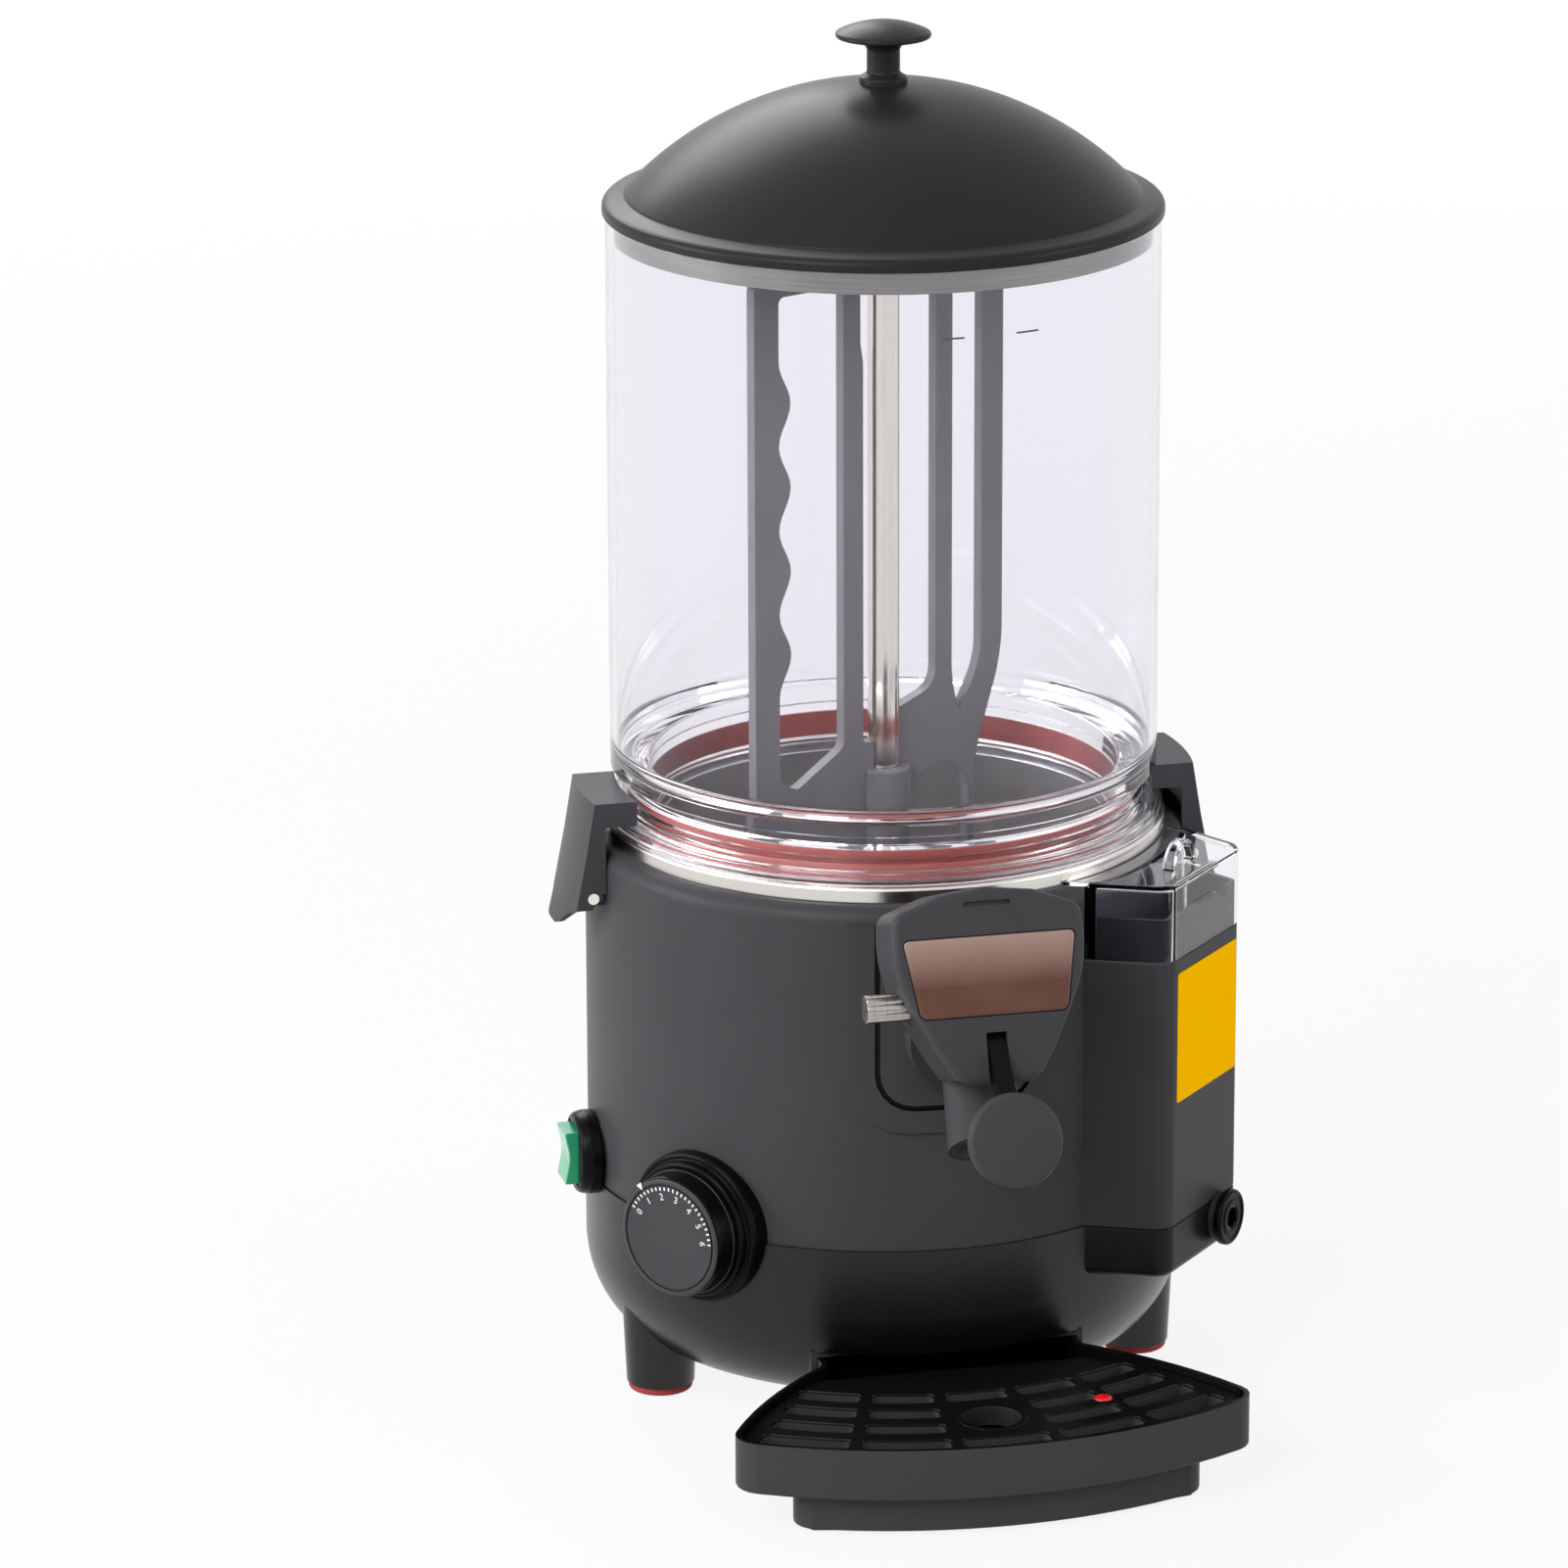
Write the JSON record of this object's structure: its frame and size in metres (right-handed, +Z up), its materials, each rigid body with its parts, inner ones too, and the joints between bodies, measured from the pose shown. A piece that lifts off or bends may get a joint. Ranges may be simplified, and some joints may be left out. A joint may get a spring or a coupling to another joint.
{
  "type": "hot chocolate dispenser",
  "caption": "Countertop hot chocolate dispenser with a clear jar, domed lid, agitator, lever tap, water box and drip tray.",
  "frame": {"origin": "on the axis of the round body, in the plane of the feet", "axes": "+Z up, front with the tap toward -Y, +X to the right of someone facing the tap"},
  "size_m": [0.2928, 0.3678, 0.58],
  "materials": {
    "body_plastic": "fine matt moulding",
    "dark_gloss": "polished black",
    "clear_plastic": "clear moulding",
    "silicone": "soft matt red",
    "foot_rubber": "matt red",
    "steel": "brushed",
    "pin_steel": "polished",
    "agitator_grey": "satin moulding",
    "window_brown": "glossy panel",
    "rocker_green": "translucent moulding",
    "float_red": "glossy",
    "motor_paint": "satin",
    "plated_sheet": "zinc plated",
    "white_plastic": "natural moulding",
    "black_rubber": "matt"
  },
  "bodies": {
    "body": {"lower_bowl": "body_plastic", "upper_shell": "body_plastic", "base_plate": "plated_sheet", "base_screws": "plated_sheet", "leg_front_left": "body_plastic", "leg_front_right": "body_plastic", "leg_rear_left": "body_plastic", "leg_rear_right": "body_plastic", "leg_pads": "foot_rubber", "tub": "steel", "bath_jacket": "steel", "heating_ring": "steel", "center_column": "steel", "shaft_bushes": "white_plastic", "gearmotor": "motor_paint", "motor_bracket": "plated_sheet", "jar": "clear_plastic", "jar_gasket": "silicone", "clip_bracket_left": "body_plastic", "clip_bracket_right": "body_plastic", "clip_pins": "pin_steel", "tap_panel": "body_plastic", "valve_body": "body_plastic", "feed_nut": "body_plastic", "tap_pin": "pin_steel", "tap_spring": "pin_steel", "tap_cover": "body_plastic", "tap_window": "window_brown", "water_box": "body_plastic", "water_box_base": "body_plastic", "link_tube": "black_rubber", "dial_bezel": "body_plastic", "thermostat": "white_plastic", "switch_bezel": "body_plastic", "switch_body": "white_plastic", "tray_bracket": "body_plastic", "power_inlet": "dark_gloss"},
    "lid": {"lid_dome": "body_plastic", "lid_skirt": "steel", "lid_knob": "dark_gloss", "lid_screw": "pin_steel"},
    "stirrer": {"drive_shaft": "pin_steel", "shaft_coupling": "plated_sheet", "agitator": "agitator_grey", "agitator_cap": "agitator_grey"},
    "left_clip": {"clip_lever_left": "body_plastic"},
    "right_clip": {"clip_lever_right": "body_plastic"},
    "piston": {"tap_piston": "white_plastic", "piston_oring": "black_rubber"},
    "lever": {"tap_lever": "body_plastic", "push_knob": "dark_gloss"},
    "box_top": {"water_box_top": "clear_plastic"},
    "plug": {"drain_plug": "body_plastic", "drain_plug_seal": "black_rubber"},
    "dial": {"dial_knob": "body_plastic"},
    "rocker": {"switch_rocker": "rocker_green"},
    "tray": {"tray_pan": "body_plastic"},
    "grille": {"tray_grille": "dark_gloss"},
    "float": {"tray_float": "float_red"}
  },
  "joints": [
    {"name": "lid_lift", "type": "slide", "parent": "body", "child": "lid", "axis": [0, 0, 1], "range_m": [0, 0.12]},
    {"name": "stirrer_turn", "type": "hinge", "parent": "body", "child": "stirrer", "pos_m": [0, 0, 0.3], "axis": [0, 0, 1], "continuous": true},
    {"name": "left_clip_swing", "type": "hinge", "parent": "body", "child": "left_clip", "pos_m": [-0.1305, 0, 0.218], "axis": [0, -1, 0], "range_deg": [0, 35]},
    {"name": "right_clip_swing", "type": "hinge", "parent": "body", "child": "right_clip", "pos_m": [0.1305, 0, 0.218], "axis": [0, 1, 0], "range_deg": [0, 35]},
    {"name": "lever_press", "type": "hinge", "parent": "body", "child": "lever", "pos_m": [0, -0.172, 0.211], "axis": [1, 0, 0], "range_deg": [0, 26], "stiffness_Nm_per_rad": 0.4, "springref_deg": -14.32, "deforming": ["tap_spring"]},
    {"name": "piston_lift", "type": "slide", "parent": "body", "child": "piston", "axis": [0, 0.3256, 0.9455], "range_m": [0, 0.0095], "deforming": ["tap_spring"]},
    {"name": "box_top_lift", "type": "slide", "parent": "body", "child": "box_top", "axis": [0, 0, 1], "range_m": [0, 0.06]},
    {"name": "plug_turn", "type": "hinge", "parent": "body", "child": "plug", "pos_m": [0.1227, -0.09164, 0.08], "axis": [0.7431, -0.6691, 0], "continuous": true},
    {"name": "dial_turn", "type": "hinge", "parent": "body", "child": "dial", "pos_m": [-0.1088, -0.08811, 0.0905], "axis": [0.7771, 0.6293, 0], "range_deg": [0, 270]},
    {"name": "rocker_tip", "type": "hinge", "parent": "body", "child": "rocker", "pos_m": [-0.13098, -0.00229, 0.099], "axis": [0.0175, -0.9998, 0], "range_deg": [-9, 9]},
    {"name": "tray_pull", "type": "slide", "parent": "body", "child": "tray", "axis": [0, -1, 0], "range_m": [0, 0.08]},
    {"name": "grille_lift", "type": "slide", "parent": "tray", "child": "grille", "axis": [0, 0, 1], "range_m": [0, 0.05]},
    {"name": "float_rise", "type": "slide", "parent": "tray", "child": "float", "axis": [0, 0, 1], "range_m": [0, 0.006]}
  ],
  "couplings": [
    {"joint": "piston_lift", "follows": "lever_press", "m_per_rad": 0.02}
  ]
}
